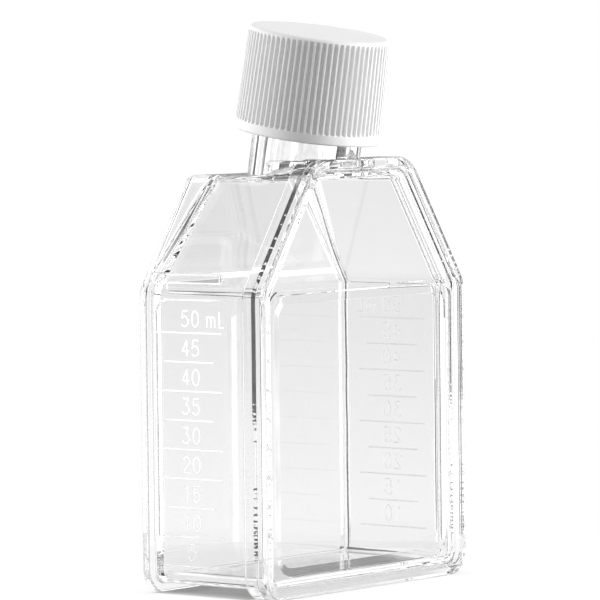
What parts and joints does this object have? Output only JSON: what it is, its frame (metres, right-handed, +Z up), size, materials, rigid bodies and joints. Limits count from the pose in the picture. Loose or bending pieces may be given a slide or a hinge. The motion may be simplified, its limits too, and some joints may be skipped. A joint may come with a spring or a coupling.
{
  "type": "cell culture flask",
  "caption": "Clear rectangular culture flask with sloping shoulders, a canted neck, a welded front plate and a ribbed white screw cap.",
  "frame": {"origin": "middle of the footprint, cap included, on the plane that the flask stands on", "axes": "+Z up along the flask's height, towards the neck; -Y towards the welded front plate, to which the neck leans; +Y towards the growth wall"},
  "size_m": [0.055, 0.03, 0.0967],
  "materials": {
    "clear_polystyrene": "polished moulding, crystal clear",
    "white_polyethylene": "satin white moulding",
    "liner_foam": "matt closed-cell foam"
  },
  "bodies": {
    "flask": {"flask_body": "clear_polystyrene", "front_plate": "clear_polystyrene"},
    "liner": {"cap_liner": "liner_foam"},
    "cap": {"screw_cap": "white_polyethylene"}
  },
  "joints": [
    {"name": "cap_rise", "type": "slide", "parent": "flask", "child": "liner", "axis": [0, -0.1702, 0.9854], "range_m": [0, 0.0201]},
    {"name": "cap_turn", "type": "hinge", "parent": "liner", "child": "cap", "pos_m": [0, 0.00071, 0.0733], "axis": [0, -0.1702, 0.9854], "range_deg": [0, 1440]}
  ],
  "couplings": [
    {"joint": "cap_rise", "follows": "cap_turn", "m_per_rad": 0.00079577}
  ]
}
